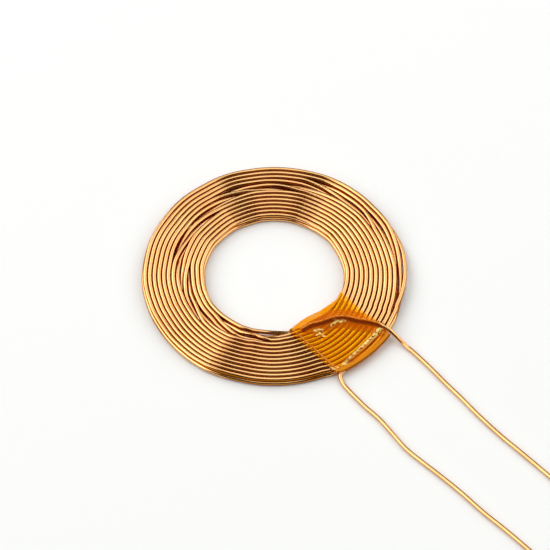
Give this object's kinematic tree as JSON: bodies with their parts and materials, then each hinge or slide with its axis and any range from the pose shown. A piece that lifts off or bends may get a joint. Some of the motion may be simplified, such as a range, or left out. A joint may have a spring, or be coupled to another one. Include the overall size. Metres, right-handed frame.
{
  "type": "wireless charging coil",
  "caption": "Flat round two-layer coil of enamelled copper wire with a wrapped strip of amber film and two long wire ends.",
  "frame": {"origin": "centre of the coil, on the surface that it lies on", "axes": "+Z is the coil's axis, pointing up; +X points right and +Y away from the viewer of the picture; the two wire ends leave towards +X and -Y"},
  "size_m": [0.0711, 0.0802, 0.0025],
  "materials": {
    "copper_enamel": "clear glossy enamel over copper",
    "amber_film": "see-through amber polyimide film"
  },
  "bodies": {
    "root": {"winding": "copper_enamel", "lead_start": "copper_enamel", "lead_finish": "copper_enamel", "film_strip": "amber_film"}
  },
  "joints": []
}
